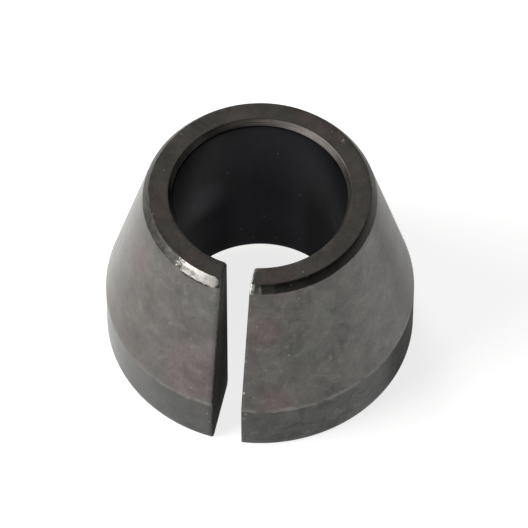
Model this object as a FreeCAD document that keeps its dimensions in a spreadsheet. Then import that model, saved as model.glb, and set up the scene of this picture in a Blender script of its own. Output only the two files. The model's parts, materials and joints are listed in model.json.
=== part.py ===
import FreeCAD, Part
import math
import os
import Sketcher

# Router collet: a split tapered sleeve, one piece of hardened steel. The origin is on the bore axis in
# the large end's face, +Z runs up the bore to the small end, and the saw slot opens toward -Y.

doc = FreeCAD.newDocument("RouterCollet")

# Driving dimensions: lengths in millimetres, the angle in degrees
sheet = doc.addObject("Spreadsheet::Sheet", "Sizes")
sizes = [
    ("shankDiameter", 12.70, "half-inch tool shank that the bore grips"),
    ("shankClearance", 0.05, "bore over shank, on the diameter, before clamping"),
    ("overallLength", 16.00, "end face to end face"),
    ("smallEndWall", 2.20, "radial wall where the cone meets the nose chamfer"),
    ("taperHalfAngle", 15.00, "slope of the cone from the bore axis"),
    ("bandHeight", 4.40, "straight band at the large end"),
    ("noseChamferWidth", 0.45, "radial"),
    ("noseChamferDepth", 0.70, "axial"),
    ("upperMouthWidth", 0.32, "bore chamfer at the small end, radial"),
    ("upperMouthDepth", 0.58, "bore chamfer at the small end, axial"),
    ("lowerMouthWidth", 0.30, "bore chamfer at the large end, radial"),
    ("lowerMouthDepth", 0.50, "bore chamfer at the large end, axial"),
    ("baseChamfer", 0.20, "on the band at the large end, 45 degrees"),
    ("slotWidth", 2.10, "saw slot, wall to wall"),
    ("slotEdgeRadius", 0.15, "deburred edge all round each slot wall"),
]
for row, (name, value, meaning) in enumerate(sizes, start=1):
    sheet.set(f"A{row}", name)
    sheet.set(f"B{row}", str(value))
    sheet.set(f"C{row}", meaning)
    sheet.setAlias(f"B{row}", name)
doc.recompute()

# How sketch constraints number a line's two ends, the two axes and the origin point
start, end = 1, 2
horizontalAxis, verticalAxis = -1, -2
originPoint = (horizontalAxis, start)


def sketchOn(body, role, name):
    sketch = body.newObject("Sketcher::SketchObject", name)
    plane = next(feature for feature in body.Origin.OriginFeatures if feature.Role == role)
    sketch.AttachmentSupport = [(plane, "")]
    sketch.MapMode = "FlatFace"
    return sketch


def addLoop(sketch, corners):
    """Lines from corner to corner, closed, each joined to the next. Returns their numbers."""
    following = corners[1:] + corners[:1]
    lines = [
        sketch.addGeometry(Part.LineSegment(FreeCAD.Vector(*one, 0), FreeCAD.Vector(*other, 0)))
        for one, other in zip(corners, following)
    ]
    for line, nextLine in zip(lines, lines[1:] + lines[:1]):
        sketch.addConstraint(Sketcher.Constraint("Coincident", line, end, nextLine, start))
    return lines


def bind(sketch, kind, name, references, value, expression):
    """A named dimension with its value now and the expression that ties it to the sheet."""
    index = sketch.addConstraint(Sketcher.Constraint(kind, *references, value))
    sketch.renameConstraint(index, name)
    sketch.setExpression(f"Constraints.{name}", expression)


def bindSize(sketch, kind, size, references):
    """A dimension named after the one sheet size that it takes."""
    bind(sketch, kind, size, references, getattr(sheet, size), f"Sizes.{size}")


def drawWallSection(body):
    """Half section through the wall: across is the radius, up is the height."""
    sketch = sketchOn(body, "XZ_Plane", "WallSection")
    boreRadius = (sheet.shankDiameter + sheet.shankClearance) / 2
    coneTopRadius = boreRadius + sheet.smallEndWall
    coneTop = sheet.overallLength - sheet.noseChamferDepth
    taper = math.radians(sheet.taperHalfAngle)
    bandRadius = coneTopRadius + (coneTop - sheet.bandHeight) * math.tan(taper)
    corners = [
        (boreRadius, sheet.lowerMouthDepth),
        (boreRadius, sheet.overallLength - sheet.upperMouthDepth),
        (boreRadius + sheet.upperMouthWidth, sheet.overallLength),
        (coneTopRadius - sheet.noseChamferWidth, sheet.overallLength),
        (coneTopRadius, coneTop),
        (bandRadius, sheet.bandHeight),
        (bandRadius, sheet.baseChamfer),
        (bandRadius - sheet.baseChamfer, 0),
        (boreRadius + sheet.lowerMouthWidth, 0),
    ]
    lines = addLoop(sketch, corners)
    bore, upperMouth, smallEnd, noseChamfer, cone, band, baseChamfer, largeEnd, lowerMouth = lines

    for line in (bore, band):
        sketch.addConstraint(Sketcher.Constraint("Vertical", line))
    for line in (smallEnd, largeEnd):
        sketch.addConstraint(Sketcher.Constraint("Horizontal", line))
    sketch.addConstraint(Sketcher.Constraint("PointOnObject", largeEnd, start, horizontalAxis))

    halfBore = "(Sizes.shankDiameter + Sizes.shankClearance) / 2"
    bind(sketch, "DistanceX", "boreRadius", (*originPoint, bore, start), boreRadius, halfBore)
    bind(sketch, "Angle", "taper", (verticalAxis, start, cone, end), taper, "Sizes.taperHalfAngle")
    bindSize(sketch, "DistanceY", "overallLength", (*originPoint, smallEnd, start))
    bindSize(sketch, "DistanceY", "bandHeight", (*originPoint, band, start))
    bindSize(sketch, "DistanceX", "smallEndWall", (bore, end, cone, start))
    bindSize(sketch, "DistanceX", "noseChamferWidth", (smallEnd, end, cone, start))
    bindSize(sketch, "DistanceY", "noseChamferDepth", (cone, start, smallEnd, end))
    bindSize(sketch, "DistanceX", "upperMouthWidth", (bore, end, smallEnd, start))
    bindSize(sketch, "DistanceY", "upperMouthDepth", (bore, end, smallEnd, start))
    bindSize(sketch, "DistanceX", "lowerMouthWidth", (bore, start, largeEnd, end))
    bindSize(sketch, "DistanceY", "lowerMouthDepth", (largeEnd, end, bore, start))
    bindSize(sketch, "DistanceY", "baseChamfer", (largeEnd, start, band, end))
    across = (largeEnd, start, band, end)
    bind(sketch, "DistanceX", "baseChamferAcross", across, sheet.baseChamfer, "Sizes.baseChamfer")
    return sketch


def drawSlotOutline(body):
    """The saw's path seen along the bore: from the bore axis out past the band, toward -Y."""
    sketch = sketchOn(body, "XY_Plane", "SlotOutline")
    half = sheet.slotWidth / 2
    reach = sheet.shankDiameter + sheet.overallLength
    corners = [(-half, 0), (half, 0), (half, -reach), (-half, -reach)]
    inner, right, outer, left = addLoop(sketch, corners)

    for line in (right, left):
        sketch.addConstraint(Sketcher.Constraint("Vertical", line))
    sketch.addConstraint(Sketcher.Constraint("Horizontal", outer))
    sketch.addConstraint(Sketcher.Constraint("Symmetric", inner, start, inner, end, verticalAxis))
    sketch.addConstraint(Sketcher.Constraint("PointOnObject", inner, start, horizontalAxis))

    pastBand = "Sizes.shankDiameter + Sizes.overallLength"
    bindSize(sketch, "DistanceX", "slotWidth", (inner, start, inner, end))
    bind(sketch, "DistanceY", "reach", (right, end, right, start), reach, pastBand)
    return sketch


def flatFacesAt(shape, distance):
    """Names of the flat faces that lie this far to either side of the plane X = 0."""
    closeEnough = 1e-6
    names = []
    for number, face in enumerate(shape.Faces, start=1):
        box = face.BoundBox
        if box.XLength < closeEnough and abs(abs(box.XMin) - distance) < closeEnough:
            names.append(f"Face{number}")
    return names


def makeCollet():
    body = doc.addObject("PartDesign::Body", "Collet")
    body.Label = "collet"

    section = drawWallSection(body)
    turned = body.newObject("PartDesign::Revolution", "TurnedSleeve")
    turned.Profile = section
    turned.ReferenceAxis = (section, ["V_Axis"])
    turned.Angle = 360
    doc.recompute()

    slot = body.newObject("PartDesign::Pocket", "SawSlot")
    slot.Profile = drawSlotOutline(body)
    slot.Type = "ThroughAll"
    slot.Reversed = True
    doc.recompute()
    if slot.Shape.Volume >= turned.Shape.Volume:
        raise RuntimeError("the saw slot misses the wall")

    slotEdges = body.newObject("PartDesign::Fillet", "SlotEdges")
    slotEdges.Base = (slot, flatFacesAt(slot.Shape, sheet.slotWidth / 2))
    slotEdges.setExpression("Radius", "Sizes.slotEdgeRadius")
    return body


collet = makeCollet()
doc.recompute()

for item in doc.Objects:
    if "Invalid" in item.State or "Error" in item.State:
        raise RuntimeError(f"{item.Label} failed: {item.State}")
if collet.Shape.isNull() or not collet.Shape.isValid():
    raise RuntimeError("the collet is not a valid solid")

os.makedirs("parts", exist_ok=True)
collet.Shape.exportStep(f"parts/{collet.Label}.step")
box = collet.Shape.optimalBoundingBox()
print(f"{collet.Label}: {len(collet.Shape.Solids)} solid, {collet.Shape.Volume:.2f} cubic mm,")
print(f"{box.XLength:.2f} across the slot, {box.YLength:.2f} along it, {box.ZLength:.2f} high")
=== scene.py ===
import bmesh
import bpy
import json
import math
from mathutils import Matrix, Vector
from types import SimpleNamespace


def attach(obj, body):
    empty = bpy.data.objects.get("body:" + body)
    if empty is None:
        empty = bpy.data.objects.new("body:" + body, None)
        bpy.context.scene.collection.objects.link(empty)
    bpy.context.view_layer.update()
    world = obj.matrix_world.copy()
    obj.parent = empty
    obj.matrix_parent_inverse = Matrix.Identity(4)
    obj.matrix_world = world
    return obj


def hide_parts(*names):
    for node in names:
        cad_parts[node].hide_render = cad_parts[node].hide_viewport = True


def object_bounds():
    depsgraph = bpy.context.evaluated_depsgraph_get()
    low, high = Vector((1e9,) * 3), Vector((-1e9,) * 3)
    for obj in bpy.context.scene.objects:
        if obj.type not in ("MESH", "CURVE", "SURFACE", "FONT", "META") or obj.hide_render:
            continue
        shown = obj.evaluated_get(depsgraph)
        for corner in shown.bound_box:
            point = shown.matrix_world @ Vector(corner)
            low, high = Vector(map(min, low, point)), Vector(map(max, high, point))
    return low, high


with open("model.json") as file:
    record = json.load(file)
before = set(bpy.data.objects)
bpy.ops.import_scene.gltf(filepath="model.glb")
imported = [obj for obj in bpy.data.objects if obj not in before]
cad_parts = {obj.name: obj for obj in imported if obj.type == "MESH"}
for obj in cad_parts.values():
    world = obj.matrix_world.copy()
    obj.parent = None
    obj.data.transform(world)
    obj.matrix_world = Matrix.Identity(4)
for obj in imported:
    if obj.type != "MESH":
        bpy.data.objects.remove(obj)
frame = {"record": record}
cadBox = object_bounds()
mm = 0.001
print("frame loaded")


# The sleeve's sizes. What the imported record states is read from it.
boreMount = next(mount for mount in frame["record"]["mounts"] if mount["name"] == "bore")
sleeve = {
    "height": cadBox[1].z,
    "bandRadius": min(cadBox[1].x, -cadBox[0].x),
    "bandHeight": 4.4 * mm,
    "taperHalfAngle": 15.0,
    "boreRadius": boreMount["dims"]["r_mm"] * mm,
    "wallMiddle": boreMount["pos_m"][2],
    "wallLength": boreMount["dims"]["length_mm"] * mm,
    "noseChamferWidth": 0.45 * mm,
    "noseChamferDepth": 0.70 * mm,
    "upperMouthWidth": 0.32 * mm,
    "lowerMouthWidth": 0.30 * mm,
    "baseChamfer": 0.20 * mm,
    "slotWidth": 2.10 * mm,
    "slotEdgeRound": 0.15 * mm,       # deburred by hand, so rounder than the turned edges
    "turnedEdgeRound": 0.04 * mm,
    "roundSegments": 3,
    "turnSteps": 240,                 # facets in a full turn
    "ringSpacing": 0.45 * mm,         # rings along the cone, band, bore and end faces
    "slotStrip": 0.50 * mm,           # strip kept clear of facet lines beside each slot wall
    "sharpBend": 5.0,                 # degrees, from which an edge is rounded
    "shadeWeight": 100,
}
coneTop = sleeve["height"] - sleeve["noseChamferDepth"]
coneSlope = math.tan(math.radians(sleeve["taperHalfAngle"]))
coneTopRadius = sleeve["bandRadius"] - (coneTop - sleeve["bandHeight"]) * coneSlope
noseRadius = coneTopRadius - sleeve["noseChamferWidth"]
wallTop = sleeve["wallMiddle"] + sleeve["wallLength"] / 2
wallBottom = sleeve["wallMiddle"] - sleeve["wallLength"] / 2
upperMouthRadius = sleeve["boreRadius"] + sleeve["upperMouthWidth"]
lowerMouthRadius = sleeve["boreRadius"] + sleeve["lowerMouthWidth"]
slotHalf = sleeve["slotWidth"] / 2
hair = 0.002 * mm                     # slack for picking verts and edges by place
closeBy = 5 * hair                    # slack for finding the edges at a corner of the section
sliver = hair / 2                     # sides shorter than this are merged away
touching = hair / 100                 # slack for what lies exactly on a cut


# Picks the verts, edges or faces of the mesh in edit mode that pass a test.
def pick(kind, test):
    bpy.ops.mesh.select_mode(type={"verts": "VERT", "edges": "EDGE", "faces": "FACE"}[kind])
    bpy.ops.mesh.select_all(action="DESELECT")
    data = bpy.context.edit_object.data
    mesh = bmesh.from_edit_mesh(data)
    for item in getattr(mesh, kind):
        if test(item):
            item.select_set(True)
    mesh.select_flush_mode()
    bmesh.update_edit_mesh(data)


def radiusOf(place):
    return math.hypot(place.x, place.y)


def middleOf(edge):
    return (edge.verts[0].co + edge.verts[1].co) / 2


# The wall's section is drawn at the back as one vert pulled from corner to corner.
def drawSection(corners):
    bpy.ops.object.select_all(action="DESELECT")
    acrossStart, upStart = corners[0]
    bpy.ops.mesh.primitive_plane_add(size=mm, location=(0, acrossStart, upStart))
    piece = bpy.context.object
    bpy.ops.object.transform_apply(location=True, rotation=True, scale=True)
    bpy.ops.object.mode_set(mode="EDIT")
    bpy.ops.mesh.select_all(action="SELECT")
    bpy.ops.mesh.merge(type="CENTER")
    for (across, up), (nextAcross, nextUp) in zip(corners, corners[1:] + corners[:1]):
        step = (0, nextAcross - across, nextUp - up)
        bpy.ops.mesh.extrude_vertices_move(TRANSFORM_OT_translate={"value": step})
    bpy.ops.mesh.select_all(action="SELECT")
    bpy.ops.mesh.remove_doubles(threshold=hair)
    return piece


# Each long side of the section gets evenly spaced verts, so the turned faces get rings.
def divideSection(corners, spacing):
    for one, other in zip(corners, corners[1:] + corners[:1]):
        start, end = Vector((0, *one)), Vector((0, *other))
        cuts = round((end - start).length / spacing) - 1
        if cuts < 1:
            continue
        middle = (start + end) / 2
        pick("edges", lambda edge: (middleOf(edge) - middle).length < hair)
        bpy.ops.mesh.subdivide(number_cuts=cuts)


def turnSection(steps):
    bpy.ops.mesh.select_all(action="SELECT")
    bpy.ops.mesh.spin(steps=steps, angle=math.tau, center=(0, 0, 0), axis=(0, 0, 1))
    bpy.ops.mesh.select_all(action="SELECT")
    bpy.ops.mesh.remove_doubles(threshold=hair)
    bpy.ops.mesh.normals_make_consistent(inside=False)


def sawSlot():
    edgeOfStrip = slotHalf + sleeve["slotStrip"]
    for plane in (-edgeOfStrip, -slotHalf, slotHalf, edgeOfStrip):
        pick("faces", lambda face: face.calc_center_median().y < 0)
        bpy.ops.mesh.bisect(plane_co=(plane, 0, 0), plane_no=(1, 0, 0), threshold=touching)

    def inSlot(face):
        middle = face.calc_center_median()
        return middle.y < 0 and abs(middle.x) < slotHalf
    pick("faces", inSlot)
    bpy.ops.mesh.delete(type="FACE")

    # Facet lines that cross the strip at a slant would spoil the rounding
    def slantsAcross(edge):
        first, second = (vert.co for vert in edge.verts)
        middle = middleOf(edge)
        inStrip = middle.y < 0 and slotHalf + touching < abs(middle.x) < edgeOfStrip - touching
        level = abs(first.z - second.z) < hair
        return inStrip and not (level and abs(radiusOf(first) - radiusOf(second)) < hair)
    pick("edges", slantsAcross)
    bpy.ops.mesh.dissolve_edges(use_verts=True)

    for side in (-1, 1):
        pick("edges", lambda edge: edge.is_boundary and middleOf(edge).x * side > 0)
        bpy.ops.mesh.edge_face_add()
    bpy.ops.mesh.select_all(action="SELECT")
    bpy.ops.mesh.normals_make_consistent(inside=False)


# Each sharp edge is marked with its share of the slot edges' rounding.
def markRounds(corners):
    def onSlotEdge(edge):
        return all(abs(abs(vert.co.x) - slotHalf) < hair and vert.co.y < 0 for vert in edge.verts)

    def onTurnedEdge(edge):
        middle = middleOf(edge)
        place = (radiusOf(edge.verts[0].co), middle.z)
        atCorner = any(math.dist(place, corner) < closeBy for corner in corners)
        return atCorner and not onSlotEdge(edge)
    sharp = math.radians(sleeve["sharpBend"])
    for test, size in (
        (onTurnedEdge, sleeve["turnedEdgeRound"]),
        (onSlotEdge, sleeve["slotEdgeRound"]),
    ):
        pick("edges", lambda edge: edge.calc_face_angle(0) > sharp and test(edge))
        bpy.ops.transform.edge_bevelweight(value=size / sleeve["slotEdgeRound"])


def makeCollet():
    corners = [
        (sleeve["boreRadius"], wallBottom),
        (sleeve["boreRadius"], wallTop),
        (upperMouthRadius, sleeve["height"]),
        (noseRadius, sleeve["height"]),
        (coneTopRadius, coneTop),
        (sleeve["bandRadius"], sleeve["bandHeight"]),
        (sleeve["bandRadius"], sleeve["baseChamfer"]),
        (sleeve["bandRadius"] - sleeve["baseChamfer"], 0),
        (lowerMouthRadius, 0),
    ]
    collet = drawSection(corners)
    divideSection(corners, sleeve["ringSpacing"])
    turnSection(sleeve["turnSteps"])
    sawSlot()
    markRounds(corners)
    bpy.ops.object.mode_set(mode="OBJECT")

    rounding = collet.modifiers.new("rounding", "BEVEL")
    rounding.limit_method = "WEIGHT"
    rounding.offset_type = "OFFSET"
    rounding.width = sleeve["slotEdgeRound"]
    rounding.segments = sleeve["roundSegments"]
    rounding.use_clamp_overlap = False
    bpy.ops.object.modifier_apply(modifier=rounding.name)
    bpy.ops.object.mode_set(mode="EDIT")
    bpy.ops.mesh.select_all(action="SELECT")
    bpy.ops.mesh.remove_doubles(threshold=sliver)
    bpy.ops.object.mode_set(mode="OBJECT")
    bpy.ops.object.shade_smooth()
    evenShade = collet.modifiers.new("evenShade", "WEIGHTED_NORMAL")
    evenShade.weight = sleeve["shadeWeight"]
    bpy.ops.object.modifier_apply(modifier=evenShade.name)

    collet.name = "blackened_collet"
    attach(collet, "root")
    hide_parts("collet")
    print(f"collet modelled, {len(collet.data.polygons)} faces")
    return collet


collet = makeCollet()


# Shader maths. A value is a node's output, and an expression on values adds its Math nodes.
class Value:
    def __init__(self, tree, socket=None):
        self.tree = tree
        self.socket = socket

    # Any node by its type, with its settings and the values or links of its sockets
    def node(self, kind, settings=None, sockets=None, output=0):
        made = self.tree.nodes.new(kind)
        for name, setting in (settings or {}).items():
            setattr(made, name, setting)
        for name, given in (sockets or {}).items():
            if isinstance(given, Value):
                self.tree.links.new(given.socket, made.inputs[name])
            else:
                made.inputs[name].default_value = given
        return Value(self.tree, made.outputs[output])

    def maths(self, operation, *terms):
        return self.node("ShaderNodeMath", {"operation": operation}, dict(enumerate(terms)))

    def __add__(self, other):
        return self.maths("ADD", self, other)

    def __sub__(self, other):
        return self.maths("SUBTRACT", self, other)

    def __rsub__(self, other):
        return self.maths("SUBTRACT", other, self)

    def __mul__(self, other):
        return self.maths("MULTIPLY", self, other)

    def __truediv__(self, other):
        return self.maths("DIVIDE", self, other)

    def __pow__(self, other):
        return self.maths("POWER", self, other)

    def __abs__(self):
        return self.maths("ABSOLUTE", self)

    def __neg__(self):
        return self.maths("MULTIPLY", self, -1)

    __radd__ = __add__
    __rmul__ = __mul__

    # 0 below low, 1 above high, soft between. With high under low it falls instead.
    def step(self, low, high):
        settings = {"interpolation_type": "SMOOTHSTEP", "clamp": True}
        sockets = {"Value": self, "From Min": min(low, high), "From Max": max(low, high)}
        if high < low:
            sockets.update({"To Min": 1.0, "To Max": 0.0})
        return self.node("ShaderNodeMapRange", settings, sockets)

    # 1 within a span, fading out over the blur at its two ends
    def within(self, low, high, blur):
        return self.step(low - blur, low + blur) * self.step(high + blur, high - blur)

    def top(self, other):
        return self.maths("MAXIMUM", self, other)

    def atMost(self, other):
        return self.maths("MINIMUM", self, other)

    # Another output of the same node
    def also(self, name):
        return Value(self.tree, self.socket.node.outputs[name])

    # A mask mixes two colours, or blends two numbers
    def mix(self, under, over):
        return self.node("ShaderNodeMix", {"data_type": "RGBA"}, {0: self, 6: under, 7: over}, 2)

    def blend(self, under, over):
        return self.node("ShaderNodeMix", {"data_type": "FLOAT"}, {0: self, 2: under, 3: over}, 0)

    # A colour multiplied by a colour
    def times(self, colour):
        settings = {"data_type": "RGBA", "blend_type": "MULTIPLY"}
        return self.node("ShaderNodeMix", settings, {0: 1.0, 6: self, 7: colour}, 2)

    # A colour or a place times a number
    def scaled(self, number):
        return self.node("ShaderNodeVectorMath", {"operation": "SCALE"}, {0: self, "Scale": number})

    # A plain colour times this number
    def tint(self, colour):
        sockets = {0: colour[:3], "Scale": self}
        return self.node("ShaderNodeVectorMath", {"operation": "SCALE"}, sockets)


# The sleeve's sizes in mm, as its finish uses them
shape = SimpleNamespace(
    top=sleeve["height"] / mm,
    chamferTop=coneTop / mm,
    bandTop=sleeve["bandHeight"] / mm,
    baseChamfer=sleeve["baseChamfer"] / mm,
    boreRadius=sleeve["boreRadius"] / mm,
    mouthRadius=upperMouthRadius / mm,
    noseRadius=noseRadius / mm,
    coneTopRadius=coneTopRadius / mm,
    bandRadius=sleeve["bandRadius"] / mm,
    slotHalf=slotHalf / mm,
    slope=coneSlope,
)


# The blackened steel. Colours are linear, lengths mm, angles degrees from the slot and + toward +X.
steelLook = {
    "coneColour": (0.1105, 0.1045, 0.0995, 1),
    "bandColour": (0.0635, 0.0625, 0.059, 1),
    "faceColour": (0.131, 0.121, 0.111, 1),
    "noseColour": (0.0345, 0.0332, 0.0303, 1),
    "boreColour": (0.0166, 0.0170, 0.0212, 1),
    # the mouth's colour with a painted highlight, and with painted shade
    "mouthPaintedLight": (0.252, 0.229, 0.210, 1),
    "mouthPaintedShade": (0.030, 0.0285, 0.0255, 1),
    "slotColour": (0.112, 0.110, 0.102, 1),
    "bareColour": (0.50, 0.48, 0.445, 1),
    "scrapedColour": (0.80, 0.78, 0.72, 1),
    "rubbedColour": (0.34, 0.34, 0.31, 1),
    "pitColour": (0.030, 0.030, 0.028, 1),
    "pitDark": 0.40,
    "rustyTint": (1.13, 0.975, 1.02, 1),
    "rustyShare": 0.8,
    "greenTint": (0.93, 1.005, 0.985, 1),
    "greenShare": 0.65,
    "brownTint": (1.035, 0.995, 0.945, 1),
    "leftPaintedLight": 1.12,                 # painted light: the half left of the slot is paler
    # painted shade: the half right of the slot is darker
    "rightPaintedShade": 0.90,
    "besideSlot": 0.28,               # the cone darkens along the slot's left edge
    "borePaintedDepthShade": 0.62,                 # painted shade: the bore darkens below its mouth
    "coneRoughness": 0.30,
    "bareRoughness": 0.40,
    "seam": 0.03,                     # how softly one surface's finish meets the next
    "bandBlur": 0.25,
    "outside": (7.4, 7.6),            # from the faces of the wall out to the skin, by radius
    "bandEndPaintedShade": (64, 115, 12),         # the stretch of the band with painted shade, also made matt: from, to, blur
}
surfaceRoughness = {  # where it differs from the cone's
    "onTop": 0.36,
    "onNose": 0.34,
    "inMouth": 0.68,
    "onBore": 0.42,
    "inSlot": 0.50,
}
mottling = {  # size, detail, harshness, warp: from clouds down to dust
    "rust": (4.1, 2, 0.5, 0),
    "green": (3.7, 2, 0.5, 0),
    "cloud": (2.6, 2, 0.5, 0),
    "torn": (1.5, 5, 0.62, 1.2),
    "worn": (1.1, 4, 0.65, 0),
    "blotch": (1.0, 4, 0.55, 0.6),
    "fleck": (0.30, 3, 0.6, 0),
    "dust": (0.09, 2, 0.6, 0),
}
mixtures = {  # how much each kind of grain adds
    "shade": {"cloud": 0.60, "blotch": 0.40, "fleck": 0.20, "scuffs": 0.22},
    "roughness": {"blotch": 0.16, "fleck": 0.12, "torn": 0.08},
    "relief": {"rings": 0.0016, "fleck": 0.006, "dust": 0.003, "pits": -0.006, "nicks": -0.008},
    "ragged": {"fleck": 1.1, "dust": 0.8},
    "speckle": {"fleck": 1.6, "torn": 1.2},
    "brown": {"blotch": 2, "torn": 2},
    "dabShine": {"fleck": 1.5, "dust": 1.2, "blotch": 0.4},
    "dabOutline": {"fleck": 0.35, "dust": 0.15},
    "dabEnd": {"fleck": 16, "dust": 8},
}
nosePaintedLight = [  # painted light and shade on the nose chamfer by angle: from, to, blur, raggedness, how much paler
    (4, 21, 3, 8, 1.3),
    (21, 36, 5, 0, 0.8),
    (-14, -4, 2, 0, 1.3),
    (-50, -36, 6, 0, 0.4),
    (-84, -68, 5, 0, 0.4),
    (102, 150, 10, 0, -0.35),
    (-140, -100, 6, 0, -0.40),
]
borePaintedLight = [  # painted light and shade in the bore by angle: from, to, blur, the heights it fades in between, how much paler
    (138, 172, 10, None, 0.3),
    (120, 152, 12, (12, 9), -0.6),
    (-112, -78, 10, None, -0.4),
    (-165, -112, 12, (10, 13), -0.25),
]
slotPaintedShade = {  # painted shade on the slot's walls: heights and the tones there
    "low": (0, 9),
    "lowTones": (0.45, 0.92),
    "high": (9.5, 15),
    "highTones": (1.0, 2.15),
    "boreReach": 0.35,                # how far from the bore they darken toward it
    "boreHeights": (13, 11),
    "boreDark": 0.5,
    "rightWall": 0.5,
    "skinReach": 1.6,                 # how far under the skin
    "skinPaintedLight": (0.62, 1.12),
}
skinPaintedLight = [  # painted light and shade on the skin by angle: surface, from, to, blur, how much paler
    ("onSkin", -110, -76, 8, 0.2),
    ("onBand", -66, -38, 6, -0.38),
    ("onBand", 42, 60, 8, -0.18),
    ("onBand", *steelLook["bandEndPaintedShade"], -0.25),
]
mattness = {  # how far each place loses the gleam
    "slot": 0.94,
    "slotEdge": 0.6,
    "mouth": 0.8,
    "bore": 0.80,
    "boreBack": 0.22,                 # less of it at the back of the bore
    "glint": 0.4,
    "dullRim": 0.8,
    "innerRim": 0.9,
}
mattSpans = [  # surface, from, to, blur, how matt
    ("onSkin", 82, 120, 8, 0.4),
    ("onBand", *steelLook["bandEndPaintedShade"], 0.85),
    ("onNose", 112, 160, 10, 0.35),
    ("onNose", -155, -104, 10, 0.35),
    ("inMouth", -128, -85, 8, 0.55),
]
rubbedRings = [  # radius, height, width, wander, wear from and to, how bare
    (shape.bandRadius, shape.bandTop + 0.22, 0.10, 1.3, 0.02, 0.12, 0.138),
    (shape.noseRadius, shape.top, 0.09, 0, -0.06, 0.12, 0.20),
    (shape.coneTopRadius, shape.chamferTop, 0.09, 0, 0, 0.15, 0.14),
    (shape.bandRadius, shape.baseChamfer, 0.12, 0, 0, 0.15, 0.20),
]
rustyPatches = [  # angle, height, how wide
    (-14, 7.4, 3.3),
    (-18, 5.9, 2.2),
    (14, 11.9, 1.6),
    (18, 5.4, 1.7),
    (-56, 12.4, 1.6),
    (-66, 16.0, 1.5),
    (-27, 16.0, 1.3),
    (24, 16.0, 1.5),
]
greenPatches = [
    (31, 9.4, 2.6),
    (42, 12.4, 1.8),
    (-14, 13.4, 1.5),
    (-44, 14.0, 1.3),
    (-45, 16.0, 1.2),
    (11, 16.0, 0.9),
    (-90, 16.0, 1.6),
]
nickList = [  # angle, height on the outer skin, how wide, how bare
    (12.2, 15.74, 0.12, 0.55),
    (12.2, 15.60, 0.13, 0.80),
    (12.3, 15.45, 0.11, 0.50),
    (28.0, 15.72, 0.10, 0.30),
    (37.0, 15.93, 0.09, 0.30),
    (30.8, 14.5, 0.08, 0.30),
    (33.8, 13.7, 0.08, 0.22),
    (24.2, 9.5, 0.11, 0.22),
    (14.8, 8.3, 0.10, 0.20),
    (13.2, 7.5, 0.10, 0.22),
    (78.0, 4.7, 0.11, 0.30),
    (64.2, 2.3, 0.09, 0.30),
    (43.5, 2.0, 0.11, 0.35),
    (6.4, 9.1, 0.12, 0.45),
    (6.2, 6.1, 0.15, 0.90),
    (9.8, 5.7, 0.10, 0.20),
    (7.0, 4.0, 0.15, 0.30),
    (6.4, 3.4, 0.12, 0.22),
    (-7.5, 3.2, 0.12, 0.30),
    (-6.8, 2.1, 0.12, 0.25),
    (-11.0, 1.0, 0.09, 0.18),
    (-29.2, 10.1, 0.11, 0.28),
    (-48.8, 6.8, 0.10, 0.22),
    (-18.0, 9.8, 0.10, 0.18),
    (-14.4, 5.4, 0.13, 0.20),
]
faceNickList = [  # angle, radius on the small end face, how wide, how bare
    (-120.2, 7.80, 0.12, 0.55),
    (-93.8, 7.30, 0.09, 0.40),
    (-63.8, 8.02, 0.11, 0.55),
    (148.5, 7.62, 0.09, 0.45),
    (139.6, 7.53, 0.09, 0.60),
    (139.9, 7.64, 0.10, 0.85),
    (140.2, 7.76, 0.10, 0.85),
    (111.0, 7.78, 0.08, 0.20),
    (36.2, 7.68, 0.10, 0.85),
]
corner = {  # right of the slot: the rubbed span of the nose chamfer and the bare corner in it
    "pale": (5.0, 13.2, 0.5),
    "paleBare": 0.72,
    "faint": (13.2, 19.5, 1.5),
    "faintBare": 0.10,
    "ragged": 6,
    "offWall": (0.01, 0.03),          # past the slot's wall
    "bareFrom": 0.05,
    "bareTo": 0.33,
    "bareBlur": 0.03,
    "outline": (-0.30, -0.06),
    "rise": (0.15, 0.45),             # over the chamfer's lower edge
    "lowShare": 0.45,
}
burnished = {  # the place beside the slot where the nose chamfer is rubbed bright
    "from": -34.0,
    "to": -11.8,
    "halfWidth": 0.45,
    "blur": 0.06,
    "dim": 0.33,
    "bright": 0.80,
    "upperStreak": 0.24,              # more of it along the upper edge
    "lowerGap": 0.32,                 # less of it low on the part away from the slot
    "slotEnd": 0.12,
    "barest": 0.97,
}


def skinRadius(height):
    if height > shape.chamferTop:
        share = (shape.top - height) / (shape.top - shape.chamferTop)
        return shape.noseRadius + (shape.coneTopRadius - shape.noseRadius) * share
    return min(shape.bandRadius, shape.coneTopRadius + (shape.chamferTop - height) * shape.slope)


def roundAt(angle, radius, height):
    turn = math.radians(angle)
    return (radius * math.sin(turn), -radius * math.cos(turn), height)


# Where a point is. What the finish needs to know there is added to it step by step.
def readPlace(tree):
    at = SimpleNamespace(tree=tree)
    at.place = tree.node("ShaderNodeTexCoord", output="Object").scaled(1 / mm)
    at.x = tree.node("ShaderNodeSeparateXYZ", None, {0: at.place}, "X")
    at.y = at.x.also("Y")
    at.height = at.x.also("Z")
    at.radius = (at.x * at.x + at.y * at.y) ** 0.5
    at.angle = tree.maths("ARCTAN2", at.x, -at.y) * (180 / math.pi)
    return at


def grain(at, where, size, detail, harshness, warp):
    sockets = {"Vector": where, "Scale": 1 / size, "Detail": detail, "Roughness": harshness}
    sockets["Distortion"] = warp
    return at.tree.node("ShaderNodeTexNoise", None, sockets) - 0.5


def nearness(at, point, size):
    settings = {"operation": "DISTANCE"}
    return at.tree.node("ShaderNodeVectorMath", settings, {0: at.place, 1: point}, "Value") / size


def mixture(at, kind):
    return sum(getattr(at, grainName) * share for grainName, share in mixtures[kind].items())


def alongRing(at, ringRadius, ringHeight, width, wander=0.0):
    across = at.radius - ringRadius
    up = at.height - ringHeight + at.blotch * wander
    return ((across * across + up * up) ** 0.5 / width).step(1.0, 0.25)


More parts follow.
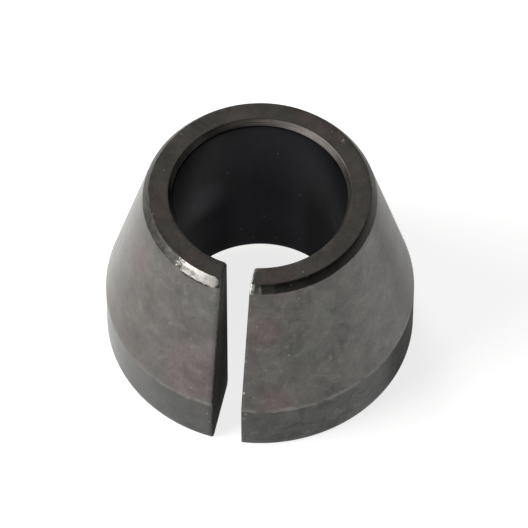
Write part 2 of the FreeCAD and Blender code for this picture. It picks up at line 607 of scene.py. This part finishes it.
def findSurfaces(at):
    seam, bandBlur = steelLook["seam"], steelLook["bandBlur"]
    chamferTop, bandTop, half = shape.chamferTop, shape.bandTop, shape.slotHalf
    at.onTop = at.height.step(shape.top - seam, shape.top - seam / 3)
    at.outside = at.radius.step(*steelLook["outside"])
    at.onNose = at.height.step(chamferTop - seam, chamferTop + seam) * at.outside * (1 - at.onTop)
    at.onBand = at.height.step(bandTop + bandBlur, bandTop - bandBlur)
    at.onBore = at.radius.step(shape.boreRadius + 2 * seam, shape.boreRadius + seam)
    at.inMouth = at.radius.step(shape.mouthRadius + 0.05, shape.mouthRadius + seam)
    at.inMouth = at.inMouth * (1 - at.onTop) * (1 - at.onBore)
    at.inFront = at.y.step(0.1, -0.1)
    at.leftOfSlot = at.x.step(0, -0.5) * at.inFront
    at.inSlot = (abs(at.x) - at.leftOfSlot * 0.05).step(half + 0.10, half + 0.04) * at.inFront
    at.onSlotEdge = abs(at.x).within(half + 0.015, half + 0.12, 0.02) * at.inFront
    at.onSkin = at.outside * (1 - at.onNose) * (1 - at.onTop) * (1 - at.inSlot)


def addMottling(at):
    for name, (size, detail, harshness, warp) in mottling.items():
        setattr(at, name, grain(at, at.place, size, detail, harshness, warp))
    sockets = {"Vector": at.place, "Rotation": (0, math.radians(18), 0), "Scale": (1, 1, 0.22)}
    stretched = at.tree.node("ShaderNodeMapping", None, sockets)
    at.scuffs = grain(at, stretched, 0.30, 3, 0.6, 0.3)


# The nose chamfer: painted light and shade by angle, with speckle
def noseColour(at):
    tone = 1
    for start, end, blur, raggedness, paler in nosePaintedLight:
        around = at.angle + at.fleck * raggedness if raggedness else at.angle
        tone = around.within(start, end, blur) * paler + tone
    speckle = at.angle.within(-84, -36, 6) * mixture(at, "speckle")
    return (tone * (1 + speckle)).tint(steelLook["noseColour"])


# The bore's upper mouth: a painted highlight on its lit side, a paler painted span on the left, and
# streaks round the bore
def mouthPaintedLight(at):
    at.polished = (at.angle + at.fleck * 10).step(112, 170).top(at.angle.step(-20, -60))
    around = {0: at.x * 0.3, 1: at.y * 0.3, 2: (at.radius + at.height) * 7}
    streaks = grain(at, at.tree.node("ShaderNodeCombineXYZ", None, around), 1.0, 3, 0.6, 0)
    tone = (1 + streaks * 1.9) * (1 + at.angle.within(-126, -85, 8) * 1.2)
    return at.polished.mix(steelLook["mouthPaintedShade"], steelLook["mouthPaintedLight"]).scaled(tone)


# The bore: painted shade deeper down and at the bottom, a painted glint at the back left, and painted
# light and shade by angle
def boreColour(at):
    at.glint = nearness(at, roundAt(-128, shape.boreRadius, 8.4), 3.2).step(1.0, 0.2)
    tone = at.height.step(8.5, 14.5).blend(steelLook["borePaintedDepthShade"], 1.0).top(at.glint * 1.05)
    tone = tone * (1 - at.height.step(4, 1.5) * 0.4)
    for start, end, blur, heights, paler in borePaintedLight:
        span = at.angle.within(start, end, blur)
        if heights:
            span = span * at.height.step(*heights)
        tone = tone * (1 + span * paler)
    return tone.tint(steelLook["boreColour"])


# Painted shade: the slot walls darken downward, toward the bore and right under the skin, the right
# one more
def slotColour(at):
    tones = slotPaintedShade
    nearBore = at.radius.step(shape.boreRadius + tones["boreReach"], shape.boreRadius)
    nearBore = nearBore * at.height.step(*tones["boreHeights"])
    underSkin = shape.coneTopRadius - (at.height - shape.chamferTop) * shape.slope - at.radius
    tone = at.height.step(*tones["low"]).blend(*tones["lowTones"])
    tone = tone * at.height.step(*tones["high"]).blend(*tones["highTones"])
    tone = tone * (1 - nearBore * tones["boreDark"]) * at.leftOfSlot.blend(tones["rightWall"], 1.0)
    tone = tone * underSkin.step(0, tones["skinReach"]).blend(*tones["skinPaintedLight"])
    return tone.tint(steelLook["slotColour"])


def surfaceColour(at):
    colour = at.onBand.mix(steelLook["coneColour"], steelLook["bandColour"])
    colour = at.onNose.mix(colour, noseColour(at))
    colour = at.onTop.mix(colour, steelLook["faceColour"])
    colour = at.inMouth.mix(colour, mouthPaintedLight(at))
    colour = at.onBore.mix(colour, boreColour(at))
    return at.inSlot.mix(colour, slotColour(at))


def patches(at, spots):
    total = None
    for turn, up, wide in spots:
        near = nearness(at, roundAt(turn, skinRadius(up), up), wide)
        mask = (near + at.torn * 1.3).step(1.1, 0.3)
        total = total.top(mask) if total else mask
    return total


# Rust-brown and greenish patches of the blacking, placed in front and scattered elsewhere
def tintPatches(at, colour):
    behind = at.y.step(-3, 1)
    blacked = at.onSkin.top(at.onTop)
    rusty = patches(at, rustyPatches).top(at.rust.step(0.08, 0.20) * behind) * blacked
    greenish = patches(at, greenPatches).top(at.green.step(0.10, 0.24) * behind) * blacked
    brownish = at.angle.within(-92, -38, 10) * (mixture(at, "brown") + 0.75) * at.onSkin
    colour = (rusty * steelLook["rustyShare"]).mix(colour, colour.times(steelLook["rustyTint"]))
    colour = (greenish * steelLook["greenShare"]).mix(colour, colour.times(steelLook["greenTint"]))
    return brownish.top(0.0).mix(colour, colour.times(steelLook["brownTint"]))


# Mottling and band scuffs, times painted light and shade: paler left of the slot, darker right of it,
# and the skin's tones by angle
def mottleAndPaintedLight(at):
    onRight = at.x.step(1.0, 1.4) * at.inFront
    sideShade = at.x.step(-1.0, -1.4) * at.inFront * (steelLook["leftPaintedLight"] - 1)
    sideShade = sideShade + onRight * at.angle.step(75, 45) * (steelLook["rightPaintedShade"] - 1)
    uneven = mixture(at, "shade") + at.torn.step(0.03, 0.07) * 0.10 - at.torn.step(-0.05, -0.10) * 0.09
    shade = 1 + uneven * (1 + onRight * 0.20) + at.dust * 0.13
    bandPatches = at.torn.step(-0.02, -0.07) * at.angle.step(5, 35) * at.inFront * at.onBand
    bandEndPaintedShade = at.angle.within(*steelLook["bandEndPaintedShade"]) * at.onBand
    shade = shade - bandPatches * (1 - bandEndPaintedShade) * 0.22
    for surface, start, end, blur, paler in skinPaintedLight:
        shade = shade + at.angle.within(start, end, blur) * getattr(at, surface) * paler
    besideSlot = at.x.step(-1.60, -1.15) * at.leftOfSlot * at.onSkin
    return shade * (1 + sideShade * at.onSkin) * (1 - besideSlot * steelLook["besideSlot"])


# Distance to the nearest of many scattered points, and a number that differs from point to point
def scatter(at, spacing):
    sockets = {"Vector": at.place, "Scale": 1 / spacing}
    cells = at.tree.node("ShaderNodeTexVoronoi", None, sockets, "Distance")
    return cells, at.tree.node("ShaderNodeSeparateXYZ", None, {0: cells.also("Color")}, "X")


def findPitsAndNicks(at):
    ragged = mixture(at, "ragged")
    cells, choice = scatter(at, 0.62)
    at.pits = (cells + ragged * 0.12).step(0.17, 0.06) * choice.also("Y").step(0.70, 0.90)
    cells, choice = scatter(at, 0.9)
    at.nicks = (cells + ragged * 0.06).step(0.08, 0.03) * choice.step(0.72, 0.95) * 0.28
    spots = [(turn, skinRadius(up), up, wide, bared) for turn, up, wide, bared in nickList]
    spots += [(turn, out, shape.top, wide, bared) for turn, out, wide, bared in faceNickList]
    for turn, out, up, wide, bared in spots:
        near = nearness(at, roundAt(turn, out, up), wide) + ragged
        at.nicks = at.nicks.top(near.step(0.85, 0.35) * bared)


# Edges and fine curved scratches rubbed grey, broken along their length
def rubbedEdges(at):
    crease = alongRing(at, shape.bandRadius, shape.bandTop, 0.25, 0.7) * at.worn.step(-0.20, 0.05)
    rubbed = crease * (1 - at.angle.within(-66, -42, 5) * 0.75) * 0.23
    for ringRadius, ringHeight, width, wander, wearFrom, wearTo, bared in rubbedRings:
        ring = alongRing(at, ringRadius, ringHeight, width, wander)
        rubbed = rubbed.top(ring * at.worn.step(wearFrom, wearTo) * bared)
    slotWear = at.onSlotEdge * at.outside * at.worn.step(-0.05, 0.2)
    wandering = {0: at.place, 1: at.scuffs * 1.2}
    place = at.tree.node("ShaderNodeVectorMath", {"operation": "ADD"}, wandering)
    settings, sockets = {"feature": "DISTANCE_TO_EDGE"}, {"Vector": place, "Scale": 1 / 1.3}
    webbing = at.tree.node("ShaderNodeTexVoronoi", settings, sockets, "Distance")
    scratches = webbing.step(0.040, 0.010) * at.blotch.step(0.03, 0.10) * at.onSkin
    return rubbed.top(slotWear * 0.25).top(scratches * 0.14)


# Parts of the small end's two rims get painted shade and stay matt
def findPaintedShadeRims(at):
    besideSlot = at.angle.within(4, 62, 4).top(at.angle.within(-62, -12, 6))
    at.dullRim = alongRing(at, shape.noseRadius, shape.top, 0.09) * besideSlot
    at.innerRim = alongRing(at, shape.mouthRadius, shape.top, 0.07) * at.angle.within(20, 88, 8)


# Painted shade: dark lines on the rims, and a painted shadow line under the burnished dab
def paintedRimShade(at):
    backRimPaintedShadow = alongRing(at, shape.noseRadius, shape.top, 0.07) * at.angle.within(-150, -72, 8)
    underDabPaintedShadow = alongRing(at, shape.coneTopRadius, shape.chamferTop - 0.08, 0.16)
    underDabPaintedShadow = underDabPaintedShadow * at.angle.within(-29, -12, 2) * (0.7 + at.fleck)
    return (at.dullRim * 0.35).top(at.innerRim * 0.6).top(backRimPaintedShadow * 0.4).top(underDabPaintedShadow)


# Right of the slot the nose chamfer is rubbed pale, with a bare corner
def paleCorner(at):
    around = at.angle + at.fleck * corner["ragged"]
    pale = around.within(*corner["pale"]) * corner["paleBare"]
    pale = pale + around.within(*corner["faint"]) * corner["faintBare"]
    return pale * at.onNose * (abs(at.x) - shape.slotHalf).step(*corner["offWall"])


def bareCorner(at):
    span = (at.x - shape.slotHalf).within(corner["bareFrom"], corner["bareTo"], corner["bareBlur"])
    rise = at.height - shape.chamferTop
    outline = (at.fleck + at.dust - rise * 0.1).step(*corner["outline"])
    bare = span * at.onNose * at.inFront * outline
    return bare * rise.step(*corner["rise"]).blend(corner["lowShare"], 1.0)


# Left of the slot the chamfer is burnished bright, as one long mottled dab with a round end
def burnishedDab(at):
    dab = burnished
    middle = (shape.noseRadius + shape.coneTopRadius) / 2
    pastEnd = (at.angle - dab["to"]).top(dab["from"] - at.angle).top(0) * math.radians(middle)
    across = at.radius - middle
    up = at.height - (shape.top + shape.chamferTop) / 2
    reach = (pastEnd * pastEnd + across * across + up * up) ** 0.5 + mixture(at, "dabOutline")
    down = (shape.top - at.height) / (shape.top - shape.chamferTop)
    shine = at.angle.step(dab["from"] - 3, dab["to"] - 2).blend(dab["dim"], dab["bright"])
    shine = shine + mixture(at, "dabShine")
    streak = down.step(0.5, 0.2) * at.angle.step(dab["from"] + 2, dab["from"] + 7)
    gap = down.within(0.45, 0.8, 0.12) * at.angle.step(-18, -24)
    shine = shine + streak * dab["upperStreak"] - gap * dab["lowerGap"]
    shine = shine + at.angle.step(-19, -14) * dab["slotEnd"]
    burnish = reach.step(dab["halfWidth"] + dab["blur"], dab["halfWidth"] - dab["blur"])
    burnish = burnish * (1 - at.onTop) * at.outside
    burnish = burnish * (at.angle + mixture(at, "dabEnd")).step(dab["from"], dab["from"] + 5)
    return burnish * shine.top(0.0).atMost(dab["barest"])


# The steel's colour: its own tints, mottling, pits, wear and nicks, with painted light and shade on
# the skin, nose, mouth, bore, slot and rims
def steelColour(at):
    colour = tintPatches(at, surfaceColour(at)).scaled(mottleAndPaintedLight(at))
    colour = (at.pits * steelLook["pitDark"]).mix(colour, steelLook["pitColour"])
    colour = colour.scaled(1 - paintedRimShade(at))
    rubbed = rubbedEdges(at).top(paleCorner(at)) * (1 - at.dullRim)
    colour = rubbed.mix(colour, steelLook["rubbedColour"])
    scuffed = at.nicks.top(burnishedDab(at))
    scraped = bareCorner(at)
    at.bare = scuffed.top(scraped)
    colour = scuffed.mix(colour, steelLook["bareColour"])
    return scraped.mix(colour, steelLook["scrapedColour"])


def steelRoughness(at):
    roughness = steelLook["coneRoughness"]
    for surface, own in surfaceRoughness.items():
        roughness = getattr(at, surface).blend(roughness, own)
    roughness = roughness + mixture(at, "roughness")
    return at.bare.blend(roughness, at.fleck * 0.3 + steelLook["bareRoughness"])


# Soot-black places lose the gleam that metal has at a slant
def steelMatt(at):
    boreBack = at.angle.step(152, 170).top(at.angle.step(-140, -158))
    boreMatt = at.height.step(16, 5.5) * (mattness["bore"] - boreBack * mattness["boreBack"])
    matt = at.onBore * boreMatt * (1 - at.glint * mattness["glint"])
    matt = matt.top(at.inSlot * mattness["slot"])
    matt = matt.top(at.inMouth * (1 - at.polished) * mattness["mouth"])
    matt = matt.top(at.dullRim * mattness["dullRim"]).top(at.innerRim * mattness["innerRim"])
    matt = matt.top(at.onSlotEdge * at.x.step(0, 0.5) * mattness["slotEdge"])
    for surface, start, end, blur, howMatt in mattSpans:
        matt = matt.top(getattr(at, surface) * at.angle.within(start, end, blur) * howMatt)
    return matt


# Turning rings, tumbled grain, nicks and pits, in mm of height
def steelRelief(at):
    sockets = {"W": at.radius + at.height, "Scale": 9.0, "Detail": 3.0, "Roughness": 0.6}
    at.rings = at.tree.node("ShaderNodeTexNoise", {"noise_dimensions": "1D"}, sockets) - 0.5
    sockets = {"Strength": 1.0, "Distance": mm, "Height": mixture(at, "relief")}
    return at.tree.node("ShaderNodeBump", None, sockets)


def makeSteel():
    material = bpy.data.materials.new("blackenedSteel")
    material.use_nodes = True
    at = readPlace(Value(material.node_tree))
    for step in (findSurfaces, addMottling, findPitsAndNicks, findPaintedShadeRims):
        step(at)
    shader = material.node_tree.nodes["Principled BSDF"]
    links = {
        "Base Color": steelColour(at),
        "Roughness": steelRoughness(at),
        "Metallic": 1 - steelMatt(at) * (1 - at.bare),
        "Normal": steelRelief(at),
    }
    for name, value in links.items():
        material.node_tree.links.new(value.socket, shader.inputs[name])
    shader.inputs["Specular IOR Level"].default_value = 0.0
    return material


collet.data.materials.clear()
collet.data.materials.append(makeSteel())
print("steel finished")


# Pale floor: a white sheet with some light coming through it from below
floorLook = {
    "size": 1.6,
    "gap": 0.01 * mm,                 # how far it lies under the part
    "colour": (0.62, 0.62, 0.61, 1),
    "roughness": 0.85,
    "shine": 0.1,
    "glow": 0.8,
}


def makeFloor():
    bpy.ops.object.select_all(action="DESELECT")
    bpy.ops.mesh.primitive_plane_add(size=floorLook["size"], location=(0, 0, -floorLook["gap"]))
    floor = bpy.context.object
    floor.name = "floor"
    material = bpy.data.materials.new("palePaper")
    material.use_nodes = True
    shader = material.node_tree.nodes["Principled BSDF"]
    shader.inputs["Base Color"].default_value = floorLook["colour"]
    shader.inputs["Roughness"].default_value = floorLook["roughness"]
    shader.inputs["Specular IOR Level"].default_value = floorLook["shine"]
    shader.inputs["Emission Color"].default_value = (1, 1, 1, 1)
    shader.inputs["Emission Strength"].default_value = floorLook["glow"]
    floor.data.materials.append(material)


makeFloor()
print("floor laid")


# Soft lamps: angle round from the slot and above the floor, width, watts
lamps = {
    "rim": {"around": -150, "above": 14, "width": 0.28, "watts": 1.85},
    "low": {"around": -66, "above": 14, "width": 0.72, "watts": 2.6},
    "left": {"around": -70, "above": 38, "width": 0.60, "watts": 2.4},
    "back": {"around": 180, "above": 62, "width": 0.28, "watts": 0.13},
}
lampRoom = {"distance": 0.6, "depth": 0.28, "worldStrength": 0.01}


def outward(around, above):
    turn, rise = math.radians(around), math.radians(above)
    return Vector((math.sin(turn) * math.cos(rise), -math.cos(turn) * math.cos(rise), math.sin(rise)))


def aimAt(thing, target):
    thing.rotation_mode = "QUATERNION"
    thing.rotation_quaternion = (target - thing.location).to_track_quat("-Z", "Y")


def makeLights():
    middle = Vector((0, 0, sleeve["height"] / 2))
    for name, lamp in lamps.items():
        light = bpy.data.lights.new(name, "AREA")
        light.shape = "ELLIPSE"
        light.size = lamp["width"]
        light.size_y = lampRoom["depth"]
        light.energy = lamp["watts"]
        holder = bpy.data.objects.new(name, light)
        bpy.context.scene.collection.objects.link(holder)
        holder.location = middle + outward(lamp["around"], lamp["above"]) * lampRoom["distance"]
        aimAt(holder, middle)
    world = bpy.data.worlds.new("room")
    bpy.context.scene.world = world
    world.use_nodes = True
    background = world.node_tree.nodes["Background"].inputs
    background["Color"].default_value = (1, 1, 1, 1)
    background["Strength"].default_value = lampRoom["worldStrength"]
    bpy.context.scene.view_settings.view_transform = "Standard"


makeLights()
print("lights set")


# The camera stands where the photograph was taken from, and looks just right of the bore axis.
view = {
    "around": 12.37,
    "above": 55.08,
    "distance": 400 * mm,
    "aimHeight": 7.0 * mm,
    "turnRight": 0.0422,
    "tiltDown": 0.0076,
    "focalPixels": 5393,
    "imagePixels": 528,
    "sensor": 36.0,
    "nearest": 0.05,
    "farthest": 5,
}


def makeCamera():
    back = outward(view["around"], view["above"])
    right = outward(view["around"] + 90, 0)
    up = back.cross(right)
    middle = Vector((0, 0, view["aimHeight"]))
    data = bpy.data.cameras.new("camera")
    data.sensor_width = view["sensor"]
    data.lens = view["focalPixels"] * view["sensor"] / view["imagePixels"]
    data.clip_start = view["nearest"]
    data.clip_end = view["farthest"]
    camera = bpy.data.objects.new("camera", data)
    bpy.context.scene.collection.objects.link(camera)
    camera.location = middle + back * view["distance"]
    sideways = view["distance"] * math.tan(math.radians(view["turnRight"]))
    down = view["distance"] * math.tan(math.radians(view["tiltDown"]))
    aimAt(camera, middle + right * sideways - up * down)
    bpy.context.scene.camera = camera


makeCamera()
print("camera placed")
